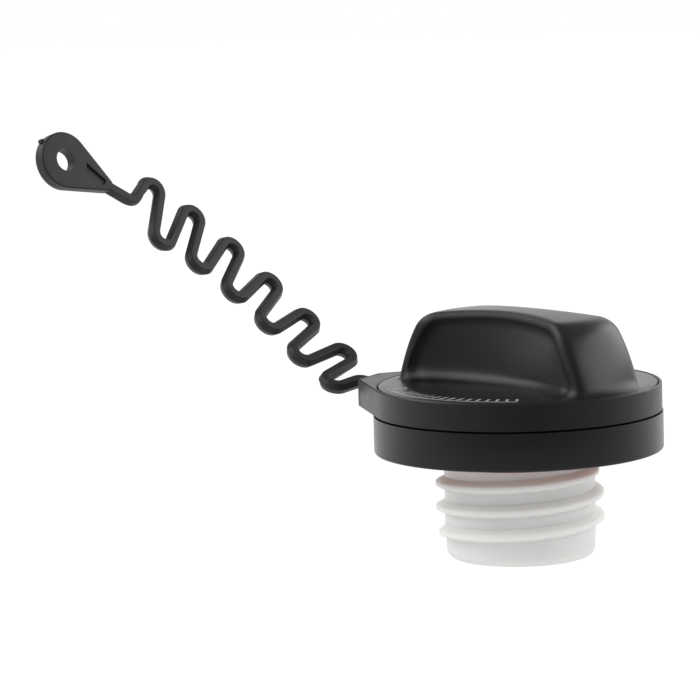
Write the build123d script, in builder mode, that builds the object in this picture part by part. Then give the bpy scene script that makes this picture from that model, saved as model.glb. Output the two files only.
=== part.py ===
"""Screw-in fuel filler cap with a ratchet, two valves and a moulded tether.

Millimetres, +Z up. The origin is on the cap's axis at the lower end of the threaded plug.
"""

import os
from math import acos, asin, atan2, cos, degrees, hypot, radians, sin

from build123d import *

os.makedirs("parts", exist_ok=True)

# Clearances
running_gap = 0.1
snap_gap = 0.1
axial_play = 0.2
loose_gap = 0.3
bite = 0.4

# Threaded plug
plug_radius = 20.6
plug_wall = 2.2
plug_floor = 2.0
plug_toe_radius = 2.5
pilot_relief = 0.25
pilot_top = 5.8
thread_depth = 2.45
thread_pitch = 6.56
thread_start_z = 7.73
thread_start_angle = -120.0
thread_turns = 2.35
thread_run_in = 45.0
thread_run_out = 60.0
thread_base = 3.8
thread_crest = 1.2
thread_crest_radius = 0.55
thread_fade_steps = 3
thread_end_share = 0.1
thread_end_base = 0.4
vent_count = 6
vent_length = 6.0
vent_width = 2.6
vent_circle = 11.0
rib_count = 6
rib_width = 1.8
rib_depth = 1.8
rib_height = 8.0

# Main seal and the shoulder above it
seal_bottom = 26.85
seal_height = 2.7
seal_width = 5.6
seal_edge_radius = 1.2
shoulder_radius = 27.0

# Skirt
skirt_radius = 39.55
skirt_wall = 2.2
skirt_bottom = 29.25
skirt_top = 39.6
skirt_edge_radius = 0.8
skirt_rib_count = 12
skirt_rib_width = 1.6
web_recess = 1.2
web_thickness = 2.0
hook_count = 6
hook_angle = 24.0
hook_stem = 1.3
hook_nose = 1.5

# Plug rim and ratchet
rim_thickness = 1.8
rim_height = 4.2
tooth_count = 24
tooth_depth = 1.0
pawl_count = 4
pawl_angle = 52.0
pawl_arm = 1.3
pawl_slot = 1.6
pawl_root_angle = 8.0
pawl_gap_angle = 0.3
pawl_tip_angle = 8.0
pawl_tip_slope = 0.7
pawl_tip_rise = 2.3
ratchet_web = 4.2

# Grip disc, tubes and tether ring seat
seam = 0.5
disc_inset = 1.4
disc_top = 47.55
disc_thickness = 2.8
ring_seat_height = 2.45
neck_inset = 4.9
neck_wall = 1.5
bead_depth = 0.7
bead_height = 1.2
hub_wall = 2.4
spline_count = 8
spline_depth = 1.2
spline_width = 3.0

# Handle on the disc
handle_height = 20.2
handle_crown = 1.8
handle_inset = 2.1
handle_mid_slope = 4.2
handle_top_slope = 8.7
handle_top_radius = 8.0
handle_end_width = 24.6
handle_waist = 13.0
handle_flare_inset = 10.0
handle_flare_radius = 12.0
handle_edge_radius = 1.4
handle_foot_radius = 1.2
handle_wall = 2.6
scoop_depth = 1.8
scoop_top_lip = 1.6
scoop_end_lip = 2.6
scoop_radius = 1.8
scoop_foot_radius = 2.6
cavity_end_wall = 3.0
grip_rib_width = 1.8
disc_edge_radius = 0.4

# Tether ring, ear, strap and eyelet
ring_inset = 0.25
ring_edge = 0.3
ear_angle = 197.2
ear_length = 6.7
ear_width = 11.8
strap_width = 3.6
strap_height = 3.4
strap_draft = 0.75
strap_edge_radius = 0.35
bend_radius = 3.04
bend_count = 14
bend_offset = 5.24
root_sink = 1.2
root_depth = 3.3
first_limb = 4.8
spine_points = [
    (4.27, -6.91, -2.86),
    (18.66, -12.36, -4.83),
    (44.79, -12.39, 31.79),
    (63.04, 21.45, 50.32),
]
roll_start = 7.3
roll_middle = 33.7
roll_end = 71.6
eyelet_swing = 5.5
eyelet_reach = 22.9
eyelet_radius = 8.0
eyelet_hole = 3.1
eyelet_neck = 7.8
eyelet_thickness = 3.6
eyelet_edge_radius = 0.5
pocket_depth = 0.9
pocket_plan = [(8.8, -0.7), (16.5, -2.5), (14.1, 3.1), (9.1, 0.9)]
nub_radius = 0.6
nub_reach = 0.4
nub_angle = 14.0

# Valves, from the bottom up
seat_thickness = 2.0
seat_hole = 7.0
seat_lip = 1.0
seat_lip_width = 1.2
gasket_thickness = 1.2
gasket_radius = 10.0
plate_thickness = 1.6
plate_radius = 10.8
plate_lip = 0.7
pressure_lift = 2.0
pressure_spring_radius = 7.6
pressure_spring_wire = 1.0
pressure_spring_turns = 5
cage_thickness = 1.7
cage_leg_count = 3
cage_leg_width = 5.0
cage_leg_depth = 2.2
cage_height = 14.2
cage_hole_count = 6
cage_hole_radius = 2.0
cage_hole_circle = 12.0
cage_boss_height = 1.0
cage_bead_depth = 0.5
cage_bead_height = 1.2
vacuum_drop = 1.5
vacuum_head_radius = 5.4
vacuum_head_thickness = 1.3
vacuum_port = 3.6
air_hole_count = 4
air_hole_radius = 0.7
air_hole_circle = 2.6
stem_radius = 1.5
vacuum_spring_radius = 4.0
vacuum_spring_wire = 0.55
vacuum_spring_turns = 5
vacuum_spring_length = 5.6
clip_radius = 4.8
clip_thickness = 1.0
stem_tip = 0.8

# Levels and radii that follow from the sizes above
pilot_radius = plug_radius - pilot_relief
shoulder_z = seal_bottom + seal_height
web_z = skirt_bottom + web_recess
rim_z = web_z + web_thickness + axial_play
rim_floor = rim_z + rim_thickness
rim_top = rim_floor + rim_height
plug_bore = plug_radius - plug_wall
disc_radius = skirt_radius - disc_inset
ring_radius = skirt_radius - ring_inset
neck_radius = skirt_radius - neck_inset
neck_bore = neck_radius - neck_wall
rim_radius = neck_bore - loose_gap
rim_bore = rim_radius - plug_wall + bite
tooth_tip = rim_bore - tooth_depth
tooth_step = 360 / tooth_count
ratchet_z = rim_floor + loose_gap
ratchet_top = rim_top
ratchet_rim = tooth_tip - pawl_tip_rise - pawl_arm - pawl_slot
ratchet_bore = ratchet_rim - ratchet_web
hub_radius = ratchet_bore - running_gap
ring_z = skirt_top + seam
ring_seat_top = ring_z + ring_seat_height
disc_z = ring_seat_top + axial_play
disc_under = disc_top - disc_thickness
ring_bore = neck_radius + running_gap
bead_radius = neck_radius + bead_depth
bead_z = web_z + web_thickness + loose_gap
hook_z = bead_z + bead_height + snap_gap
handle_top = disc_top + handle_height
handle_reach = disc_radius - handle_inset
handle_flare = handle_reach - handle_flare_inset
ear_reach = ring_radius + ear_length
seat_z = plug_floor + rib_height
gasket_z = seat_z + seat_thickness + seat_lip
plate_z = gasket_z + gasket_thickness
spring_z = plate_z + plate_thickness
cage_top_z = seat_z + seat_thickness + cage_height
cage_radius = plug_bore - loose_gap
cage_bead_z = cage_top_z + cage_thickness + snap_gap
clip_z = spring_z + vacuum_spring_length
stem_top = clip_z + clip_thickness + stem_tip


def ring_sector(inner, outer, middle, angle):
    """Draw the face between two radii, centred on an angle."""
    with BuildSketch() as sector:
        with BuildLine():
            inside = CenterArc((0, 0), inner, middle - angle / 2, angle)
            outside = CenterArc((0, 0), outer, middle - angle / 2, angle)
            Line(inside @ 0, outside @ 0)
            Line(inside @ 1, outside @ 1)
        make_face()
    return sector.sketch


def thread_height(angle):
    """Height of the ridge's middle at an angle past the start of the full ridge."""
    return thread_start_z + thread_pitch * angle / 360


def thread_section(angle, share):
    """Draw the ridge's section at an angle past its start, at a share of its full size."""
    turned = radians(thread_start_angle + angle)
    radial = Vector(cos(turned), sin(turned), 0)
    rise = thread_pitch / 360 * degrees(1) / plug_radius
    travel = Vector(-sin(turned), cos(turned), rise).normalized()
    origin = radial * plug_radius + Vector(0, 0, thread_height(angle))
    depth = thread_depth * share
    half_base = thread_base / 2 * (thread_end_base + (1 - thread_end_base) * share)
    half_crest = thread_crest / 2 * share
    with BuildSketch(Plane(origin=origin, x_dir=radial, z_dir=travel)) as section:
        Polygon(
            (-bite, half_base),
            (-bite, -half_base),
            (0, -half_base),
            (depth, -half_crest),
            (depth, half_crest),
            (0, half_base),
            align=None,
        )
        fillet(section.vertices().group_by(Axis.X)[-1], thread_crest_radius * share)
    return section.sketch


def thread_fade(angle, run):
    """Sections of the ridge from full size at an angle down to its faded end, a run further on."""
    steps = [step / thread_fade_steps for step in range(thread_fade_steps + 1)]
    return [thread_section(angle + run * step, 1 - (1 - thread_end_share) * step) for step in steps]


# Threaded plug: a cup with a shoulder for the seal and a rim with ratchet teeth inside it
with BuildPart() as threaded_plug:
    with BuildSketch(Plane.XZ):
        with BuildLine():
            toe = pilot_radius - plug_toe_radius
            Polyline((0, plug_floor), (0, 0), (toe, 0))
            CenterArc((toe, plug_toe_radius), plug_toe_radius, -90, 90)
            Polyline(
                (pilot_radius, plug_toe_radius),
                (pilot_radius, pilot_top),
                (plug_radius, pilot_top),
                (plug_radius, shoulder_z),
                (shoulder_radius, shoulder_z),
                (shoulder_radius, rim_z),
                (rim_radius, rim_z),
                (rim_radius, rim_top),
                (rim_bore, rim_top),
                (rim_bore, rim_floor),
                (plug_bore, rim_floor),
                (plug_bore, cage_bead_z + cage_bead_height),
                (plug_bore - cage_bead_depth, cage_bead_z),
                (plug_bore, cage_bead_z),
                (plug_bore, plug_floor),
                (0, plug_floor),
            )
        make_face()
    revolve(axis=Axis.Z)
    with BuildSketch(Plane.XY.offset(rim_floor)):
        tooth_root = rim_bore + bite
        tooth_back = radians(tooth_step)
        with PolarLocations(0, tooth_count):
            Polygon(
                (tooth_root, 0),
                (tooth_tip, 0),
                (tooth_root * cos(tooth_back), tooth_root * sin(tooth_back)),
                align=None,
            )
    extrude(amount=rim_height)
    with BuildSketch(Plane.XY.offset(plug_floor)):
        with PolarLocations(plug_bore - rib_depth / 2 + bite / 2, rib_count):
            Rectangle(rib_depth + bite, rib_width)
    extrude(amount=rib_height)
    with BuildSketch():
        with PolarLocations(vent_circle, vent_count, start_angle=180 / vent_count):
            SlotOverall(vent_length, vent_width)
    extrude(amount=plug_floor, mode=Mode.SUBTRACT)
    # the ridge: full along a helix, then faded into the wall at both ends
    ridge_path = Helix(
        thread_pitch, thread_pitch * thread_turns, plug_radius, center=(0, 0, thread_start_z), mode=Mode.PRIVATE
    ).rotate(Axis.Z, thread_start_angle)
    add(thread_section(0, 1))
    sweep(path=ridge_path, is_frenet=True)
    add(thread_fade(0, -thread_run_in))
    loft()
    add(thread_fade(360 * thread_turns, thread_run_out))
    loft()
threaded_plug.part.label = "threaded_plug"
export_step(threaded_plug.part, "parts/threaded_plug.step")

# Main seal: sits round the neck against the shoulder
with BuildPart() as seal_ring:
    with BuildSketch(Plane.XZ) as seal_section:
        with Locations((plug_radius + running_gap, seal_bottom)):
            Rectangle(seal_width, seal_height, align=(Align.MIN, Align.MIN))
        fillet(seal_section.vertices().group_by(Axis.Y)[0], seal_edge_radius)
    revolve(axis=Axis.Z)
seal_ring.part.label = "seal_ring"
export_step(seal_ring.part, "parts/seal_ring.step")

# Skirt: outer wall with a web below the plug's rim, ribs, and hooks that hold the grip's bead
with BuildPart() as skirt:
    skirt_bore = skirt_radius - skirt_wall
    web_hole = shoulder_radius + loose_gap
    with BuildSketch(Plane.XZ) as skirt_section:
        with BuildLine():
            Polyline(
                (skirt_bore, skirt_bottom),
                (skirt_radius, skirt_bottom),
                (skirt_radius, skirt_top),
                (skirt_bore, skirt_top),
                (skirt_bore, web_z + web_thickness),
                (web_hole, web_z + web_thickness),
                (web_hole, web_z),
                (skirt_bore, web_z),
                close=True,
            )
        make_face()
        lower_corner = skirt_section.vertices().group_by(Axis.Y)[0].sort_by(Axis.X)[-1]
        fillet(lower_corner, skirt_edge_radius)
    revolve(axis=Axis.Z)
    hook_inner = bead_radius + snap_gap
    hook_height = hook_z + hook_nose - web_z - web_thickness
    rib_inner = bead_radius + loose_gap
    with BuildSketch(Plane.XY.offset(web_z + web_thickness)):
        with PolarLocations((rib_inner + skirt_bore + bite) / 2, skirt_rib_count, start_angle=180 / skirt_rib_count):
            Rectangle(skirt_bore + bite - rib_inner, skirt_rib_width)
    extrude(amount=skirt_top - web_z - web_thickness)
    with BuildSketch(Plane.XY.offset(web_z + web_thickness)):
        with PolarLocations(0, hook_count):
            add(ring_sector(hook_inner, hook_inner + hook_stem, 0, hook_angle))
    extrude(amount=hook_height)
    with BuildSketch(Plane.XY.offset(hook_z)):
        with PolarLocations(0, hook_count):
            add(ring_sector(neck_radius + snap_gap, hook_inner + hook_stem, 0, hook_angle))
    extrude(amount=hook_nose)
    with BuildSketch(Plane.XY.offset(web_z)):
        with PolarLocations(0, hook_count):
            add(ring_sector(neck_radius + snap_gap, hook_inner, 0, hook_angle))
    extrude(amount=web_thickness, mode=Mode.SUBTRACT)
skirt.part.label = "skirt"
export_step(skirt.part, "parts/skirt.step")


def pawl_plan():
    """Draw one spring arm of the ratchet ring, with its tip just short of a tooth at angle 0."""
    arm_inner = ratchet_rim + pawl_slot
    arm_outer = arm_inner + pawl_arm
    arm_end = -pawl_gap_angle
    tip_radius = tooth_tip + tooth_depth - 2 * running_gap
    tip_face = radians(arm_end)
    tip_back = radians(arm_end - pawl_tip_angle)
    with BuildSketch() as pawl:
        add(ring_sector(arm_inner, arm_outer, arm_end - pawl_angle / 2, pawl_angle))
        root_middle = arm_end - pawl_angle + pawl_root_angle / 2
        add(ring_sector(ratchet_rim - bite, arm_outer, root_middle, pawl_root_angle))
        Polygon(
            ((arm_outer - bite) * cos(tip_face), (arm_outer - bite) * sin(tip_face)),
            (tip_radius * cos(tip_face), tip_radius * sin(tip_face)),
            ((tip_radius - pawl_tip_slope) * cos(tip_back), (tip_radius - pawl_tip_slope) * sin(tip_back)),
            ((arm_outer - bite) * cos(tip_back), (arm_outer - bite) * sin(tip_back)),
            align=None,
        )
    return pawl.sketch


# Ratchet ring: keyed on the grip's hub, with spring arms whose tips lock in the plug's teeth
with BuildPart() as ratchet_ring:
    with BuildSketch(Plane.XY.offset(ratchet_z)):
        Circle(ratchet_rim)
        with PolarLocations(0, pawl_count):
            add(pawl_plan())
        Circle(ratchet_bore, mode=Mode.SUBTRACT)
        with PolarLocations(ratchet_bore, spline_count):
            Rectangle(
                2 * (spline_depth + running_gap), spline_width + 2 * running_gap, mode=Mode.SUBTRACT
            )
    extrude(amount=ratchet_top - ratchet_z)
ratchet_ring.part.label = "ratchet_ring"
export_step(ratchet_ring.part, "parts/ratchet_ring.step")


def paddle_plan(waist, width):
    """Draw the handle's plan: a bow-tie, straight-sided beyond the flare."""
    with BuildSketch() as plan:
        with BuildLine():
            side = ThreePointArc((-handle_flare, width / 2), (0, waist / 2), (handle_flare, width / 2))
            Polyline(
                side @ 1,
                (skirt_radius, width / 2),
                (skirt_radius, -width / 2),
                (handle_flare, -width / 2),
            )
            ThreePointArc((handle_flare, -width / 2), (0, -waist / 2), (-handle_flare, -width / 2))
            Polyline(
                (-handle_flare, -width / 2),
                (-skirt_radius, -width / 2),
                (-skirt_radius, width / 2),
                side @ 0,
            )
        make_face()
        flares = plan.vertices().filter_by(lambda vertex: abs(vertex.X) < skirt_radius - bite)
        fillet(flares, handle_flare_radius)
    return plan.sketch


def paddle_profile(side_inset, top_inset, bottom):
    """Draw half of the handle's side profile, drawn in at the side and the top."""
    with BuildSketch(Plane.XZ) as profile:
        with BuildLine():
            top = handle_top - top_inset
            foot = (handle_reach - side_inset, bottom)
            middle = (handle_reach - handle_mid_slope - side_inset, disc_top + handle_height / 2)
            shoulder = (handle_reach - handle_top_slope - side_inset, top - handle_crown)
            ThreePointArc(foot, middle, shoulder)
            TangentArc((0, top), shoulder, tangent=(1, 0))
            Polyline((0, top), (0, bottom), foot)
        make_face()
        corner = profile.vertices().sort_by_distance((*shoulder, 0))[0]
        fillet(corner, handle_top_radius - top_inset)
    return profile.sketch


def side_rims(solid, bottom):
    """Edges where the handle's long sides, or a scoop's floor, meet its turned outline."""
    return solid.edges().filter_by(
        lambda edge: edge.geom_type == GeomType.BSPLINE
        and abs((edge @ 0.5).Y) > bite
        and abs((edge @ 0.5).Y) < handle_end_width / 2 + bite
        and (edge @ 0.5).Z > bottom + bite
    )


# Outside of the handle: the bow-tie plan within the turned side profile
with BuildPart() as paddle:
    with BuildSketch(Plane.XY.offset(disc_under)):
        add(paddle_plan(handle_waist, handle_end_width))
    extrude(amount=handle_top + handle_height)
    revolve(paddle_profile(0, 0, disc_under), axis=Axis.Z, mode=Mode.INTERSECT)
    fillet(side_rims(paddle, disc_under), handle_edge_radius)

# Scoops that are sunk in the handle's long sides, inside a lip
with BuildPart() as scoops:
    revolve(paddle_profile(scoop_end_lip, scoop_top_lip, disc_top), axis=Axis.Z)
    with BuildSketch(Plane.XY.offset(disc_top)):
        add(paddle_plan(handle_waist - 2 * scoop_depth, handle_end_width - 2 * scoop_depth))
    extrude(amount=handle_height, mode=Mode.SUBTRACT)
    fillet(side_rims(scoops, disc_top), scoop_radius)
    scoop_feet = scoops.edges().group_by(Axis.Z)[0]
    fillet(scoop_feet.filter_by(lambda edge: abs((edge @ 0.5).Y) < handle_end_width / 2), scoop_foot_radius)

# Cavity that makes the handle a shell, open below
with BuildPart() as cavity:
    cavity_sides = 2 * (scoop_depth + handle_wall)
    with BuildSketch(Plane.XY.offset(disc_under)):
        add(paddle_plan(handle_waist - cavity_sides, handle_end_width - cavity_sides))
    extrude(amount=handle_top + handle_height)
    revolve(paddle_profile(cavity_end_wall, handle_wall, disc_under), axis=Axis.Z, mode=Mode.INTERSECT)

# Grip: disc with the handle above, and below it the neck with its bead, the hub and ribs
with BuildPart() as grip:
    with BuildSketch(Plane.XZ) as grip_section:
        with BuildLine():
            Polyline(
                (0, disc_top),
                (disc_radius, disc_top),
                (disc_radius, disc_z),
                (neck_radius, disc_z),
                (neck_radius, bead_z + bead_height),
                (bead_radius, bead_z + bead_height),
                (bead_radius, bead_z + bead_height / 2),
                (neck_radius, bead_z),
                (neck_bore, bead_z),
                (neck_bore, disc_under),
                (0, disc_under),
                close=True,
            )
        make_face()
        disc_corner = grip_section.vertices().sort_by_distance((disc_radius, disc_top, 0))[0]
        fillet(disc_corner, disc_edge_radius)
    revolve(axis=Axis.Z)
    add(paddle.part)
    handle_foot = grip.edges().filter_by(
        lambda edge: abs((edge @ 0.5).Z - disc_top) < snap_gap
        and hypot((edge @ 0.5).X, (edge @ 0.5).Y) < handle_reach + snap_gap
    )
    fillet(handle_foot, handle_foot_radius)
    add(scoops.part, mode=Mode.SUBTRACT)
    add(cavity.part, mode=Mode.SUBTRACT)
    hub_z = rim_floor + loose_gap
    with BuildSketch(Plane.XY.offset(hub_z)):
        Circle(hub_radius)
        with PolarLocations(hub_radius, spline_count):
            Rectangle(2 * spline_depth, spline_width)
        Circle(hub_radius - hub_wall, mode=Mode.SUBTRACT)
    extrude(amount=disc_under + bite - hub_z)
    with BuildSketch(Plane.XY.offset(rim_top + axial_play)):
        with PolarLocations((hub_radius + neck_bore) / 2, spline_count, start_angle=180 / spline_count):
            Rectangle(neck_bore - hub_radius + 2 * bite, grip_rib_width)
    extrude(amount=disc_under + bite - rim_top - axial_play)
grip.part.label = "grip"
export_step(grip.part, "parts/grip.step")


# Strap: a wave about a curved spine, whose plane turns as it goes
ear_top = Plane.XY.rotated((0, 0, ear_angle))
ear_top = Plane(origin=ear_top.x_dir * ear_reach + Vector(0, 0, disc_top), x_dir=ear_top.x_dir)
spine = Bezier(*[ear_top.from_local_coords(point) for point in spine_points])
half_pitch = spine.length / (bend_count - 1)
limb_lean = atan2(2 * bend_offset, half_pitch) + asin(2 * bend_radius / hypot(half_pitch, 2 * bend_offset))
half_turn = degrees(limb_lean)


def strap_axes(share):
    """Directions along the spine, across the wave and square to it, at a share of its length."""
    along = (spine % share).normalized()
    level = along.cross(Vector(0, 0, 1)).normalized()
    upward = level.cross(along)
    roll = radians(
        roll_start * (1 - share) * (1 - 2 * share)
        + 4 * roll_middle * share * (1 - share)
        + roll_end * share * (2 * share - 1)
    )
    across = level * cos(roll) + upward * sin(roll)
    return along, across, across.cross(along)


def strap_section(plane):
    """Draw the strap's section: flat faces, with sides that draft from a parting line."""
    flat = strap_width / 2 - strap_draft
    with BuildSketch(plane) as section:
        Polygon(
            (-flat, -strap_height / 2),
            (flat, -strap_height / 2),
            (strap_width / 2, 0),
            (flat, strap_height / 2),
            (-flat, strap_height / 2),
            (-strap_width / 2, 0),
            align=None,
        )
        corners = section.vertices().filter_by(lambda corner: abs(corner.Y) > strap_height / 4)
        fillet(corners, strap_edge_radius)
    return section.sketch


def turned_plane(plane, centre, normal, angle):
    """Carry a section's plane round the centre of a bend."""
    spin = Axis((0, 0, 0), normal)
    travel = plane.z_dir.rotate(spin, angle)
    origin = centre + (plane.origin - centre).rotate(spin, angle)
    return Plane(origin=origin, x_dir=plane.x_dir.rotate(spin, angle), z_dir=travel)


def strap_bend(index):
    """Axis, turn, start and end planes of one bend, counted from the ear."""
    along, across, normal = strap_axes(index / (bend_count - 1))
    side = 1 if index % 2 == 0 else -1
    last = index == bend_count - 1
    centre = spine @ (index / (bend_count - 1)) + across * (bend_radius if last else side * bend_offset)
    crest = Plane(
        origin=centre + across * (side * bend_radius), x_dir=normal.cross(along), z_dir=along
    )
    start = turned_plane(crest, centre, normal, -half_turn * side)
    end = turned_plane(crest, centre, normal, side * (eyelet_swing if last else half_turn))
    turn = half_turn + (eyelet_swing if last else half_turn)
    return Axis(centre, normal * side), turn, start, end


# The strap leaves the ear's end, turns back at once, and has a short limb before its second bend
bends = [strap_bend(index) for index in range(1, bend_count)]
second_start = bends[0][2]
first_end = Plane(
    origin=second_start.origin - second_start.z_dir * first_limb,
    x_dir=second_start.x_dir,
    z_dir=second_start.z_dir,
)
first_centre = first_end.origin + first_end.x_dir * bend_radius
root_start = Plane(
    origin=ear_top.from_local_coords((-root_sink, 0, -root_depth)), x_dir=ear_top.y_dir, z_dir=ear_top.x_dir
)
root_centre = root_start.origin - ear_top.y_dir * bend_radius
to_first = first_centre - root_centre
to_first_length = hypot(to_first.X, to_first.Y)
root_limb = (to_first_length**2 - 4 * bend_radius**2) ** 0.5
leave = degrees(atan2(to_first.Y, to_first.X) - atan2(2 * bend_radius, root_limb))
arrive = degrees(atan2(first_end.z_dir.Y, first_end.z_dir.X))
root_turn = (ear_angle - leave) % 360
first_turn = (arrive - leave) % 360
root_end = turned_plane(root_start, root_centre, Vector(0, 0, 1), -root_turn)
first_start = turned_plane(first_end, first_centre, first_end.y_dir, -first_turn)
bends.insert(0, (Axis(first_centre, first_end.y_dir), first_turn, first_start, first_end))

# Eyelet: a teardrop plate in the strap's plane, with a ramped pocket in its face and a gate nub
strap_end = bends[-1][3]
eyelet_plane = Plane(origin=strap_end.origin, x_dir=strap_end.z_dir, z_dir=strap_end.y_dir)
with BuildPart() as eyelet:
    with BuildSketch(eyelet_plane.offset(-eyelet_thickness / 2)):
        with Locations((eyelet_neck, 0)):
            Circle(strap_width / 2)
        with Locations((eyelet_reach, 0)):
            Circle(eyelet_radius)
        make_hull()
    extrude(amount=eyelet_thickness)
    fillet(eyelet.faces().filter_by(eyelet_plane).edges(), eyelet_edge_radius)
    with BuildSketch(eyelet_plane.offset(-eyelet_thickness / 2)):
        with Locations((eyelet_reach, 0)):
            Circle(eyelet_hole)
    extrude(amount=eyelet_thickness, mode=Mode.SUBTRACT)
    pocket_high = max(y for x, y in pocket_plan)
    pocket_low = min(y for x, y in pocket_plan)
    pocket_slope = pocket_depth / (pocket_high - pocket_low)
    pocket_plane = Plane(
        origin=eyelet_plane.from_local_coords((0, pocket_high, eyelet_thickness / 2)),
        x_dir=eyelet_plane.x_dir,
        z_dir=eyelet_plane.z_dir - eyelet_plane.y_dir * pocket_slope,
    )
    with BuildSketch(pocket_plane):
        Polygon(*[(x, y - pocket_high) for x, y in pocket_plan], align=None)
    extrude(amount=eyelet_thickness, mode=Mode.SUBTRACT)
    with BuildSketch(eyelet_plane):
        with Locations((eyelet_reach, 0)):
            with PolarLocations(eyelet_radius + nub_reach, 1, start_angle=-nub_angle):
                Circle(nub_radius)
    extrude(amount=nub_radius, both=True)

# Tether: ring with its ear, root bend, wave and eyelet, moulded as one piece
with BuildPart() as tether:
    ear_corner = hypot(ear_reach, ear_width / 2)
    tangent_angle = atan2(ear_width / 2, ear_reach) + acos(ring_radius / ear_corner)
    tangent_x = ring_radius * cos(tangent_angle)
    tangent_y = ring_radius * sin(tangent_angle)
    with BuildSketch(Plane(origin=(0, 0, ring_z), x_dir=ear_top.x_dir)):
        Circle(ring_radius)
        Polygon(
            (0, -ring_radius / 2),
            (tangent_x, -tangent_y),
            (ear_reach, -ear_width / 2),
            (ear_reach, ear_width / 2),
            (tangent_x, tangent_y),
            (0, ring_radius / 2),
            align=None,
        )
        Circle(ring_bore, mode=Mode.SUBTRACT)
    extrude(amount=disc_top - ring_z)
    with BuildSketch(Plane.XY.offset(ring_seat_top)):
        Circle(disc_radius + loose_gap)
    extrude(amount=disc_top - ring_seat_top, mode=Mode.SUBTRACT)
    chamfer(tether.faces().sort_by(Axis.Z)[-1].edges(), ring_edge)

    revolve(strap_section(root_start), axis=Axis(root_centre, (0, 0, -1)), revolution_arc=root_turn)
    previous_end = root_end
    for axis, turn, start_plane, end_plane in bends:
        loft([strap_section(previous_end), strap_section(start_plane)], ruled=True)
        revolve(strap_section(start_plane), axis=axis, revolution_arc=turn)
        previous_end = end_plane
    extrude(strap_section(strap_end), amount=eyelet_neck)
    add(eyelet.part)
tether.part.label = "tether"
export_step(tether.part, "parts/tether.step")

# Valve seat: disc on the plug's inner ribs, with a raised lip round its port
with BuildPart() as valve_seat:
    with BuildSketch(Plane.XY.offset(seat_z)):
        Circle(cage_radius)
        Circle(seat_hole, mode=Mode.SUBTRACT)
    extrude(amount=seat_thickness)
    with BuildSketch(Plane.XY.offset(seat_z + seat_thickness)):
        Circle(seat_hole + seat_lip_width)
        Circle(seat_hole, mode=Mode.SUBTRACT)
    extrude(amount=seat_lip)
valve_seat.part.label = "valve_seat"
export_step(valve_seat.part, "parts/valve_seat.step")

# Valve gasket: flat rubber ring that closes the seat from above and the vacuum port from below
with BuildPart() as valve_gasket:
    with BuildSketch(Plane.XY.offset(gasket_z)):
        Circle(gasket_radius)
        Circle(vacuum_port, mode=Mode.SUBTRACT)
    extrude(amount=gasket_thickness)
valve_gasket.part.label = "valve_gasket"
export_step(valve_gasket.part, "parts/valve_gasket.step")

# Pressure plate: backs the gasket, guides the vacuum valve's stem and lets air past it
with BuildPart() as pressure_plate:
    with BuildSketch(Plane.XY.offset(plate_z)):
        Circle(plate_radius)
        Circle(stem_radius + running_gap, mode=Mode.SUBTRACT)
        with PolarLocations(air_hole_circle, air_hole_count):
            Circle(air_hole_radius, mode=Mode.SUBTRACT)
    extrude(amount=plate_thickness)
    with BuildSketch(Plane.XY.offset(plate_z)):
        Circle(plate_radius)
        Circle(gasket_radius + running_gap, mode=Mode.SUBTRACT)
    extrude(amount=-plate_lip)
pressure_plate.part.label = "pressure_plate"
export_step(pressure_plate.part, "parts/pressure_plate.step")


def coil_spring(name, bottom, top, radius, wire, turns):
    """Write a coil spring that reaches from one height to the other."""
    with BuildPart() as spring:
        with BuildLine(Plane.XY.offset(bottom + wire / 2)) as path:
            Helix((top - bottom - wire) / turns, top - bottom - wire, radius)
        with BuildSketch(Plane(origin=path.line @ 0, z_dir=path.line % 0)):
            Circle(wire / 2)
        sweep(is_frenet=True)
    spring.part.label = name
    export_step(spring.part, f"parts/{name}.step")


coil_spring(
    "pressure_spring", spring_z, cage_top_z, pressure_spring_radius, pressure_spring_wire, pressure_spring_turns
)
coil_spring("vacuum_spring", spring_z, clip_z, vacuum_spring_radius, vacuum_spring_wire, vacuum_spring_turns)

# Valve cage: perforated disc under the plug's bead, on legs that stand on the seat
with BuildPart() as valve_cage:
    with BuildSketch(Plane.XY.offset(cage_top_z)):
        Circle(cage_radius)
        with PolarLocations(cage_hole_circle, cage_hole_count):
            Circle(cage_hole_radius, mode=Mode.SUBTRACT)
    extrude(amount=cage_thickness)
    boss_radius = pressure_spring_radius - pressure_spring_wire / 2 - loose_gap
    with BuildSketch(Plane.XY.offset(cage_top_z)):
        Circle(boss_radius)
        Circle(boss_radius - cage_boss_height, mode=Mode.SUBTRACT)
    extrude(amount=-cage_boss_height)
    with BuildSketch(Plane.XY.offset(cage_top_z)):
        with PolarLocations(cage_radius - cage_leg_depth / 2, cage_leg_count):
            Rectangle(cage_leg_depth, cage_leg_width)
        Circle(cage_radius, mode=Mode.INTERSECT)
    extrude(amount=-cage_height)
valve_cage.part.label = "valve_cage"
export_step(valve_cage.part, "parts/valve_cage.step")

# Vacuum valve: head under the gasket, on a stem through the pressure plate
with BuildPart() as vacuum_valve:
    with BuildSketch(Plane.XY.offset(gasket_z)):
        Circle(vacuum_head_radius)
    extrude(amount=-vacuum_head_thickness)
    with BuildSketch(Plane.XY.offset(gasket_z)):
        Circle(stem_radius)
    extrude(amount=stem_top - gasket_z)
    chamfer(vacuum_valve.edges().group_by(Axis.Z)[-1], stem_tip / 2)
vacuum_valve.part.label = "vacuum_valve"
export_step(vacuum_valve.part, "parts/vacuum_valve.step")

# Stem clip: holds the vacuum spring on the stem
with BuildPart() as stem_clip:
    with BuildSketch(Plane.XY.offset(clip_z)):
        Circle(clip_radius)
        Circle(stem_radius + running_gap / 2, mode=Mode.SUBTRACT)
    extrude(amount=clip_thickness)
stem_clip.part.label = "stem_clip"
export_step(stem_clip.part, "parts/stem_clip.step")
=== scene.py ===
"""Looks of the fuel filler cap: finishes, print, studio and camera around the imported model."""

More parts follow.
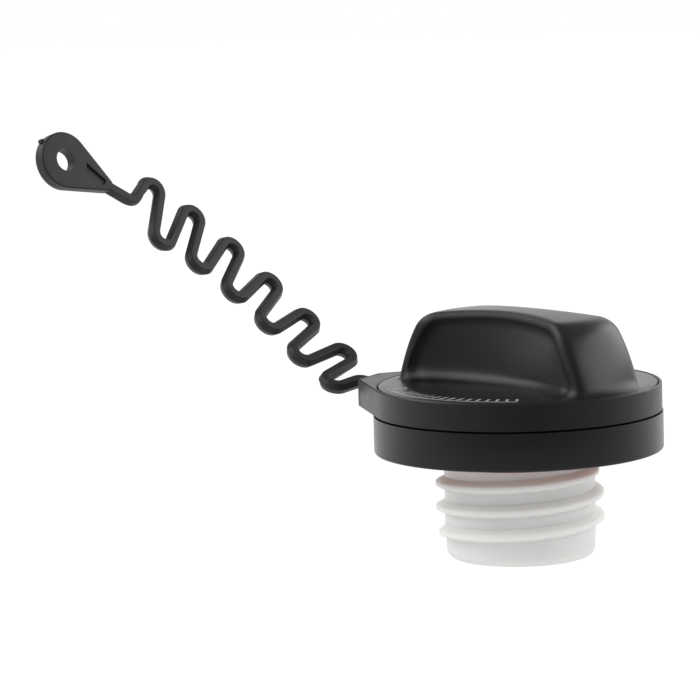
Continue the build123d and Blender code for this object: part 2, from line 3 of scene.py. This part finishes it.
from math import cos, radians, sin

import bmesh
import bpy
from mathutils import Matrix, Vector


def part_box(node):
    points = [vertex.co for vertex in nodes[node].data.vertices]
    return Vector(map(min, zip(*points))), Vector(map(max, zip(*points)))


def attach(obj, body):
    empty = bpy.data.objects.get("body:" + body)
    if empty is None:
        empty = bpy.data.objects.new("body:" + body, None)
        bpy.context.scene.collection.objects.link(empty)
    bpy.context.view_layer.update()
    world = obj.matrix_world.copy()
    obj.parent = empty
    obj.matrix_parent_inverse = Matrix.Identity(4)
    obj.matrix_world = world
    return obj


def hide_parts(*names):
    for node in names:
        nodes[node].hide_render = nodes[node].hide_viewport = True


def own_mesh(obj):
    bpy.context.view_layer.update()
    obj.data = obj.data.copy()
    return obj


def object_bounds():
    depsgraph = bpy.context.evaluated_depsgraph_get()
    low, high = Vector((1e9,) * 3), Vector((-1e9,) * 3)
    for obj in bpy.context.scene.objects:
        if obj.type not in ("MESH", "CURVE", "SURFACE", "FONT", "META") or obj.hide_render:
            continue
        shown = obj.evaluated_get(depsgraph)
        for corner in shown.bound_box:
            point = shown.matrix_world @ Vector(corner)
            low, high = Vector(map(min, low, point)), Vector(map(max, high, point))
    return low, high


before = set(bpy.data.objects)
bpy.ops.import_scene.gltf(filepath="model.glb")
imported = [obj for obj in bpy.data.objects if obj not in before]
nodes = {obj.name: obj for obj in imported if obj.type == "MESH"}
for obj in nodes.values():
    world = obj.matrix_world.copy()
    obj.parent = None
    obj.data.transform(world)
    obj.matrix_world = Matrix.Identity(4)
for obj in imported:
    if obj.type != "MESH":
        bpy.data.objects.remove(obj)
cad_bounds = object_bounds()

MM = 0.001
UP = Vector((0, 0, 1))
WHITE = (1, 1, 1, 1)


# ---------------------------------------------------------------- nodes and shader maths


def feed(tree, socket, value):
    """Link a node's socket to another node's output, or give it a plain value."""
    if isinstance(value, Sock):
        tree.links.new(value.out, socket)
    else:
        socket.default_value = value


class Sock:
    """A node's output, which adds Math nodes when it is calculated with."""

    def __init__(self, tree, out):
        self.tree = tree
        self.out = out

    def sibling(self, name):
        """Another output of the same node."""
        return Sock(self.tree, self.out.node.outputs[name])

    def _math(self, operation, first, second):
        node = self.tree.nodes.new("ShaderNodeMath")
        node.operation = operation
        feed(self.tree, node.inputs[0], first)
        feed(self.tree, node.inputs[1], second)
        return Sock(self.tree, node.outputs[0])

    def __add__(self, other):
        return self._math("ADD", self, other)

    def __radd__(self, other):
        return self._math("ADD", other, self)

    def __sub__(self, other):
        return self._math("SUBTRACT", self, other)

    def __rsub__(self, other):
        return self._math("SUBTRACT", other, self)

    def __mul__(self, other):
        return self._math("MULTIPLY", self, other)

    def __rmul__(self, other):
        return self._math("MULTIPLY", other, self)

    def __truediv__(self, other):
        return self._math("DIVIDE", self, other)

    def __pow__(self, other):
        return self._math("POWER", self, other)

    def larger(self, other):
        return self._math("MAXIMUM", self, other)

    def smaller(self, other):
        return self._math("MINIMUM", self, other)

    def above(self, edge, soft):
        """1 where the value is above the edge, 0 below it, with a soft step between."""
        return ((self - edge) / soft + 0.5).larger(0.0).smaller(1.0)


class Tree:
    """A cleared node tree, with short ways to add nodes to it."""

    def __init__(self, tree):
        self.tree = tree
        self.tree.nodes.clear()

    def node(self, kind, settings=None, sockets=None, output=0, **inputs):
        """Add a node: its settings first, then its sockets by number or by name. Gives one output."""
        node = self.tree.nodes.new(kind)
        for name, value in (settings or {}).items():
            setattr(node, name, value)
        for number, value in (sockets or {}).items():
            feed(self.tree, node.inputs[number], value)
        for name, value in inputs.items():
            feed(self.tree, node.inputs[name.replace("_", " ")], value)
        return Sock(self.tree, node.outputs[output]) if node.outputs else None

    def split(self, vector):
        """A vector's three parts."""
        parts = self.node("ShaderNodeSeparateXYZ", Vector=vector)
        return [parts.sibling(axis) for axis in "XYZ"]

    def along(self, vector, axis):
        """How far a direction or place lies along an axis."""
        settings = {"operation": "DOT_PRODUCT"}
        return self.node("ShaderNodeVectorMath", settings, {0: vector, 1: axis}, output="Value")


class Finish(Tree):
    """A material with a Principled shader."""

    def __init__(self, name):
        self.material = bpy.data.materials.new(name)
        self.material.use_nodes = True
        super().__init__(self.material.node_tree)
        self.position = self.node("ShaderNodeTexCoord", output="Object")

    def noise(self, per_mm, detail=2.0, rough=0.5):
        """Noise with a number of grains to the millimetre."""
        return self.node(
            "ShaderNodeTexNoise", Vector=self.position, Scale=per_mm / MM, Detail=detail, Roughness=rough
        )

    def radius(self):
        """Distance from the cap's axis."""
        x, y = self.split(self.position)[:2]
        return (x * x + y * y) ** 0.5

    def height(self):
        """Height above the cap's foot."""
        return self.split(self.position)[2]

    def mix(self, factor, first, second):
        """Blend two colours. A Mix node's colours go by number, because their names are used twice."""
        first, second = (value if isinstance(value, Sock) else (*value, 1.0) for value in (first, second))
        sockets = {0: factor, 6: first, 7: second}
        return self.node("ShaderNodeMix", {"data_type": "RGBA"}, sockets, output=2)

    def bump(self, height, depth_mm, **inputs):
        """Bump whose full height is a depth in millimetres."""
        return self.node("ShaderNodeBump", Height=height, Distance=depth_mm * MM, Strength=1.0, **inputs)

    def surface(self, **inputs):
        """Add the Principled shader with these sockets, and give the material."""
        shader = self.node("ShaderNodeBsdfPrincipled", **inputs)
        self.node("ShaderNodeOutputMaterial", Surface=shader)
        return self.material


def clad(material, *names):
    """Give CAD nodes a material."""
    for name in names:
        materials = nodes[name].data.materials
        materials.clear()
        materials.append(material)


# ---------------------------------------------------------------- finishes

HANDLE_HEIGHT = 20.2 * MM
DISC_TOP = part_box("grip")[1][2] - HANDLE_HEIGHT
DISC_RIM = 37.2 * MM
HANDLE_FOOT = DISC_TOP - 0.5 * MM
PAINTED_LIGHT_FROM = DISC_TOP + 1.5 * MM  # above this height the handle is painted paler, as painted light that brightens its shaded scoop
SOFT_EDGE = 4.5 * MM  # worn tool edges round the handle's corners and scoop
STRAP_FROM = 45.0 * MM  # the strap and eyelet lie outside this radius, and have an eroded surface


def grip_plastic():
    """Black nylon with a fine eroded grain, its handle painted paler as painted light."""
    finish = Finish("grip_plastic")
    grain = finish.noise(per_mm=3.0, detail=3.0, rough=0.6)
    mottle = finish.noise(per_mm=0.08)
    moulded = finish.mix(mottle, (0.0055, 0.0060, 0.0060), (0.0075, 0.0080, 0.0080))
    # painted light: a paler copy of the same black for the handle, brightening its shaded scoop
    painted_lighter = finish.mix(mottle, (0.0100, 0.0108, 0.0106), (0.0125, 0.0134, 0.0132))
    height = finish.height()
    # where the painted light on the handle begins, with a soft step
    handle = height.above(PAINTED_LIGHT_FROM, soft=3.0 * MM)
    rim = finish.radius().above(DISC_RIM, soft=0.6 * MM)
    inside_rim = height.above(HANDLE_FOOT, soft=0.5 * MM) * (1 - rim)
    softened = finish.node("ShaderNodeBevel", {"samples": 8}, Radius=inside_rim * SOFT_EDGE)
    return finish.surface(
        Base_Color=finish.mix(handle, moulded, painted_lighter),
        Roughness=0.24 + mottle * 0.07 + grain * 0.05,
        Normal=finish.bump(grain, depth_mm=0.012, Normal=softened),
    )


def tether_plastic():
    """Softer black plastic with flow marks, polished on the ring and eroded on the strap."""
    finish = Finish("tether_plastic")
    flow = finish.noise(per_mm=0.25, detail=3.0)
    grain = finish.noise(per_mm=2.2, detail=3.0, rough=0.6)
    polished = finish.mix(flow, (0.0065, 0.0070, 0.0070), (0.0105, 0.0110, 0.0110))
    eroded = finish.mix(flow, (0.0130, 0.0138, 0.0135), (0.0200, 0.0210, 0.0206))
    strap = finish.radius().above(STRAP_FROM, soft=2.0 * MM)
    return finish.surface(
        Base_Color=finish.mix(strap, polished, eroded),
        Roughness=0.30 + strap * 0.12 + flow * 0.14,
        Normal=finish.bump(flow + strap * grain * 0.6, depth_mm=0.03),
    )


def plug_plastic():
    """White acetal, satin, which lets light a little way in."""
    finish = Finish("plug_plastic")
    flow = finish.noise(per_mm=0.12, detail=3.0)
    grain = finish.noise(per_mm=2.0)
    return finish.surface(
        Base_Color=finish.mix(flow, (0.78, 0.775, 0.75), (0.84, 0.835, 0.81)),
        Roughness=0.32 + grain * 0.12,
        Normal=finish.bump(grain, depth_mm=0.006),
        Subsurface_Weight=0.9,
        Subsurface_Radius=(1.0, 0.9, 0.8),
        Subsurface_Scale=5.0 * MM,
    )


def seal_rubber():
    """Orange-red rubber."""
    finish = Finish("seal_rubber")
    grain = finish.noise(per_mm=1.5, detail=3.0)
    return finish.surface(
        Base_Color=finish.mix(grain, (0.30, 0.03, 0.013), (0.38, 0.045, 0.02)),
        Roughness=0.55 + grain * 0.15,
        Normal=finish.bump(grain, depth_mm=0.01),
    )


def valve_rubber():
    """Matt black rubber."""
    finish = Finish("valve_rubber")
    grain = finish.noise(per_mm=1.5, detail=3.0)
    return finish.surface(
        Base_Color=finish.mix(grain, (0.02, 0.02, 0.02), (0.035, 0.035, 0.035)),
        Roughness=0.6 + grain * 0.15,
        Normal=finish.bump(grain, depth_mm=0.01),
    )


def spring_steel():
    """Drawn steel wire."""
    finish = Finish("spring_steel")
    draw = finish.noise(per_mm=1.0, detail=4.0)
    return finish.surface(
        Base_Color=finish.mix(draw, (0.52, 0.52, 0.53), (0.66, 0.66, 0.67)),
        Metallic=1.0,
        Roughness=0.22 + draw * 0.16,
        Normal=finish.bump(draw, depth_mm=0.006),
    )


def print_ink():
    """White pad print, thin in places."""
    finish = Finish("print_ink")
    cover = finish.noise(per_mm=1.2, detail=4.0, rough=0.7)
    thick = cover.above(0.42, soft=0.3)
    return finish.surface(
        Base_Color=finish.mix(thick, (0.12, 0.12, 0.115), (0.42, 0.42, 0.40)),
        Roughness=0.45 + cover * 0.2,
        Normal=finish.bump(cover, depth_mm=0.01),
    )


VALVE_PLASTICS = ("valve_seat", "valve_cage", "pressure_plate", "vacuum_valve")
clad(grip_plastic(), "grip", "skirt")
clad(tether_plastic(), "tether")
clad(plug_plastic(), "threaded_plug", "ratchet_ring", *VALVE_PLASTICS)
clad(seal_rubber(), "seal_ring")
clad(valve_rubber(), "valve_gasket")
drawn_steel = spring_steel()
clad(drawn_steel, "pressure_spring", "vacuum_spring", "stem_clip")


# ---------------------------------------------------------------- shading of the CAD nodes

WELD = 0.001 * MM  # points nearer to each other than this are one
SHARP_ANGLE = radians(28)


def smoothing_group():
    """Geometry nodes that weld a node's triangles and shade them smooth, but for sharp edges."""
    group = bpy.data.node_groups.new("smooth_by_angle", "GeometryNodeTree")
    for way in ("INPUT", "OUTPUT"):
        group.interface.new_socket("Geometry", in_out=way, socket_type="NodeSocketGeometry")
    steps = Tree(group)
    start = steps.node("NodeGroupInput")
    welded = steps.node("GeometryNodeMergeByDistance", Geometry=start, Distance=WELD)
    smooth = steps.node("GeometryNodeSetShadeSmooth", Geometry=welded)
    angle = steps.node("GeometryNodeInputMeshEdgeAngle")
    sharp = steps.node("FunctionNodeCompare", {"operation": "GREATER_THAN"}, {0: angle, 1: SHARP_ANGLE})
    edged = steps.node(
        "GeometryNodeSetShadeSmooth", {"domain": "EDGE"}, Geometry=smooth, Selection=sharp, Shade_Smooth=False
    )
    steps.node("NodeGroupOutput", Geometry=edged)
    return group


smoothing = smoothing_group()


def shade(piece):
    """Shade a CAD node, or a copy of one."""
    piece.modifiers.new("smooth", "NODES").node_group = smoothing


for piece in nodes.values():
    shade(piece)


# ---------------------------------------------------------------- copies of the springs


def new_piece(name, shape, material):
    """Put a bmesh into the scene as an object of one material."""
    mesh = bpy.data.meshes.new(name)
    shape.to_mesh(mesh)
    shape.free()
    mesh.materials.append(material)
    piece = bpy.data.objects.new(name, mesh)
    bpy.context.scene.collection.objects.link(piece)
    return piece


def closing_spring(name, node, body):
    """Coil in the CAD spring's place: a welded copy of it that rides on the body, with the CAD spring hidden.
    """
    shape = bmesh.new()
    shape.from_mesh(nodes[node].data)
    bmesh.ops.remove_doubles(shape, verts=shape.verts, dist=WELD)
    piece = new_piece(name, shape, drawn_steel)
    shade(piece)
    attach(piece, body)
    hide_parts(node)
    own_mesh(piece)


closing_spring(
    "pressure_coil", "pressure_spring", "plug"
)
closing_spring(
    "vacuum_coil", "vacuum_spring", "pressure_valve"
)


# ---------------------------------------------------------------- print on the disc

# Angles are in degrees, anticlockwise from above
PRINT_THICKNESS = 0.03 * MM
PRINT_SUNK = PRINT_THICKNESS / 3  # how deep the print lies in the disc
ARROW_RADIUS = 35.4 * MM
ARROW_WIDTH = 0.75 * MM
ARROW_START = -48
ARROW_SWEEP = -68
ARROW_STEPS = 24
ARROW_HEAD_WIDTH = 4 * ARROW_WIDTH
ARROW_HEAD_SWEEP = -5
CLICK_RADIUS = 30.8 * MM
CLICK_LENGTH = 3.6 * MM
CLICK_WIDTH = 0.8 * MM
CLICK_COUNT = 15
CLICK_STEP = -4.6
CAP_SIGN_PLACE = 33.2 * MM
CAP_SIGN_ANGLE = -127
CAP_SIGN_RADIUS = 2.8 * MM
CAP_SIGN_LINE = 0.5 * MM
CAP_SIGN_DOT = 1.2 * MM


def on_disc(reach, angle):
    """Place at a distance from the cap's axis, turned round it by an angle in degrees."""
    return Matrix.Rotation(radians(angle), 4, "Z") @ Matrix.Translation((reach, 0, 0))


def print_point(shape, reach, angle):
    """Corner of the print."""
    return bmesh.ops.create_vert(shape, co=on_disc(reach, angle).translation)["vert"][0]


def print_arc(shape, radius, width, start, sweep, steps):
    """Flat band on an arc about the cap's axis, drawn by spinning its end edge."""
    ends = [print_point(shape, radius + side * width / 2, start) for side in (-1, 1)]
    edge = shape.edges.new(ends)
    bmesh.ops.spin(
        shape, geom=[*ends, edge], cent=(0, 0, 0), axis=UP, angle=radians(sweep), steps=steps, use_merge=False
    )


def print_arrow_head(shape, radius, width, start, sweep):
    """Flat triangle at the end of the arrow's arc, with its point on the arc."""
    corners = ((radius - width / 2, start), (radius + width / 2, start), (radius, start + sweep))
    bmesh.ops.contextual_create(shape, geom=[print_point(shape, *corner) for corner in corners])


def print_bar(shape, inner, length, width, angle):
    """Flat radial bar."""
    place = on_disc(inner + length / 2, angle) @ Matrix.Diagonal((length, width, 1, 1))
    bmesh.ops.create_grid(shape, x_segments=1, y_segments=1, size=0.5, matrix=place)


def print_dot(shape, radius, reach, angle):
    """Flat round dot. Gives the points of its rim."""
    place = on_disc(reach, angle)
    dot = bmesh.ops.create_circle(shape, cap_ends=True, segments=32, radius=radius, matrix=place)
    return dot["verts"]


def print_hoop(shape, radius, width, reach, angle):
    """Flat ring: a dot whose middle is inset and taken out."""
    middle = print_dot(shape, radius, reach, angle)[0].link_faces[0]
    bmesh.ops.inset_region(shape, faces=[middle], thickness=width, use_boundary=True, use_even_offset=True)
    bmesh.ops.delete(shape, geom=[middle], context="FACES")


def turning_print():
    """Plain pictogram: turn this way, until the ratchet clicks."""
    shape = bmesh.new()
    print_arc(shape, ARROW_RADIUS, ARROW_WIDTH, ARROW_START, ARROW_SWEEP, ARROW_STEPS)
    print_arrow_head(shape, ARROW_RADIUS, ARROW_HEAD_WIDTH, ARROW_START + ARROW_SWEEP, ARROW_HEAD_SWEEP)
    for index in range(CLICK_COUNT):
        print_bar(shape, CLICK_RADIUS, CLICK_LENGTH, CLICK_WIDTH, ARROW_START + index * CLICK_STEP)
    print_hoop(shape, CAP_SIGN_RADIUS, CAP_SIGN_LINE, CAP_SIGN_PLACE, CAP_SIGN_ANGLE)
    print_dot(shape, CAP_SIGN_DOT, CAP_SIGN_PLACE, CAP_SIGN_ANGLE)
    bmesh.ops.recalc_face_normals(shape, faces=shape.faces)
    bmesh.ops.reverse_faces(shape, faces=[face for face in shape.faces if face.normal.z < 0])
    bmesh.ops.solidify(shape, geom=shape.faces[:], thickness=PRINT_THICKNESS)
    bmesh.ops.recalc_face_normals(shape, faces=shape.faces)
    lowest = min(vertex.co.z for vertex in shape.verts)
    bmesh.ops.translate(shape, vec=UP * (DISC_TOP - lowest - PRINT_SUNK), verts=shape.verts)
    piece = new_piece("turning_print", shape, print_ink())
    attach(piece, "grip")


turning_print()


# ---------------------------------------------------------------- camera

bpy.context.scene.view_settings.view_transform = "Standard"

VIEW_TURN = radians(45)  # the camera stands this far round from the front
VIEW_DROP = radians(7.57)  # and looks down by this much
VIEW_ROLL = radians(-1.59)
VIEW_DISTANCE = 1000 * MM
AIM_RIGHT = -45.4 * MM  # the aimed point, from the foot of the cap's axis
AIM_UP = 57.83 * MM
FRAME_PIXELS = 700
FOCAL_PIXELS = 3673
SENSOR = 36.0  # mm, as the lens is

right = Vector((cos(VIEW_TURN), sin(VIEW_TURN), 0))
away = Vector((-sin(VIEW_TURN), cos(VIEW_TURN), 0))


def make_camera():
    """Camera that looks at the aimed point from the view's side, with the view's roll."""
    forward = away * cos(VIEW_DROP) - UP * sin(VIEW_DROP)
    above = away * sin(VIEW_DROP) + UP * cos(VIEW_DROP)
    camera_right = right * cos(VIEW_ROLL) + above * sin(VIEW_ROLL)
    camera_up = above * cos(VIEW_ROLL) - right * sin(VIEW_ROLL)
    place = right * AIM_RIGHT + UP * AIM_UP - forward * VIEW_DISTANCE
    data = bpy.data.cameras.new("camera")
    data.sensor_fit = "HORIZONTAL"
    data.sensor_width = SENSOR
    data.lens = SENSOR * FOCAL_PIXELS / FRAME_PIXELS
    data.clip_start = 0.05
    data.clip_end = 50
    camera = bpy.data.objects.new("camera", data)
    bpy.context.scene.collection.objects.link(camera)
    axes = Matrix((camera_right, camera_up, -forward)).transposed().to_4x4()
    camera.matrix_world = Matrix.Translation(place) @ axes
    bpy.context.scene.camera = camera


make_camera()


# ---------------------------------------------------------------- studio

ROOM_LEVEL = 0.70  # what falls on the cap from all round, as soft light
FLOOR_LEVEL = 0.84  # what the floor sends back up
FLOOR_RADIUS = 3.0
FLOOR_GLOW = 0.95  # the rest of the floor's white is matt, and takes the cap's shadow
FLOOR_MATT = (0.1, 0.1, 0.1, 1)
# What the cap mirrors, where the backdrop and the far floor are 1
DARK_LEVEL = 0.04
LEFT_LEVEL = 0.75
RIGHT_LEVEL = 0.35
OVERHEAD_LEVEL = 0.2


def white_level(shading, reflected, scattered):
    """White to the camera, one level to mirrored and refracted rays, and another to the rest."""
    camera = shading.node("ShaderNodeLightPath", output="Is Camera Ray")
    mirrored = camera.sibling("Is Glossy Ray").larger(camera.sibling("Is Transmission Ray"))
    level = scattered + mirrored * (reflected - scattered)
    return level + camera * (1 - level)


def make_world():
    """White backdrop behind the cap, with grey cards beside it and above it, and dark elsewhere."""
    world = bpy.data.worlds.new("studio")
    bpy.context.scene.world = world
    world.use_nodes = True
    shading = Tree(world.node_tree)
    direction = shading.node("ShaderNodeTexCoord", output="Generated")
    depth = shading.along(direction, away)
    side = shading.along(direction, right)
    height = shading.split(direction)[2]
    backdrop = depth.above(0.6, soft=0.45) * (1 - height.above(0.52, soft=0.25))
    low = 1 - height.above(0.5, soft=0.5)
    left_card = (0 - side).above(0.5, soft=0.7) * (1 - depth.above(0.1, soft=0.7)) * low
    right_card = side.above(0.5, soft=0.5) * (1 - depth.above(0.0, soft=0.7)) * low
    overhead = height.above(0.6, soft=0.4)
    cards = (left_card * LEFT_LEVEL).larger(right_card * RIGHT_LEVEL).larger(overhead * OVERHEAD_LEVEL)
    reflected = DARK_LEVEL + backdrop.larger(cards) * (1 - DARK_LEVEL)
    strength = white_level(shading, reflected, ROOM_LEVEL)
    background = shading.node("ShaderNodeBackground", Color=WHITE, Strength=strength)
    shading.node("ShaderNodeOutputWorld", Surface=background)
    world.cycles.sampling_method = "NONE"  # so every ray that meets it is known by its kind


make_world()


def make_floor():
    """Pale floor, white to the camera but for a faint shadow; its near part mirrors dark."""
    material = bpy.data.materials.new("floor_white")
    material.use_nodes = True
    shading = Tree(material.node_tree)
    place = shading.node("ShaderNodeTexCoord", output="Object")
    far = shading.along(place, away).above(-30 * MM, soft=320 * MM)
    reflected = DARK_LEVEL + far * (1 - DARK_LEVEL)
    strength = white_level(shading, reflected, FLOOR_LEVEL) * FLOOR_GLOW
    glow = shading.node("ShaderNodeEmission", Color=WHITE, Strength=strength)
    matt = shading.node("ShaderNodeBsdfDiffuse", Color=FLOOR_MATT)
    both = shading.node("ShaderNodeAddShader", sockets={0: glow, 1: matt})
    shading.node("ShaderNodeOutputMaterial", Surface=both)
    material.cycles.emission_sampling = "NONE"
    shape = bmesh.new()
    bmesh.ops.create_circle(shape, cap_ends=True, segments=64, radius=FLOOR_RADIUS)
    floor = new_piece("floor", shape, material)


make_floor()


SOFTBOX_DISTANCE = 0.9
cad_middle = UP * (cad_bounds[0][2] + cad_bounds[1][2]) / 2


def softbox(name, turn, rise, width, height, brightness):
    """Rectangular lamp aimed at the cap, placed by its turn to the camera's right and its rise.

    The brightness is the watts that each square metre of it sends out.
    """
    data = bpy.data.lights.new(name, "AREA")
    data.shape = "RECTANGLE"
    data.size = width
    data.size_y = height
    data.energy = width * height * brightness
    lamp = bpy.data.objects.new(name, data)
    bpy.context.scene.collection.objects.link(lamp)
    flat = right * sin(radians(turn)) - away * cos(radians(turn))
    direction = flat * cos(radians(rise)) + UP * sin(radians(rise))
    lamp.location = cad_middle + direction * SOFTBOX_DISTANCE
    lamp.rotation_euler = direction.to_track_quat("Z", "Y").to_euler()


softbox("right_softbox", turn=106, rise=25, width=1.3, height=0.45, brightness=6.4)
softbox("left_softbox", turn=-88, rise=40, width=1.1, height=0.55, brightness=7.6)
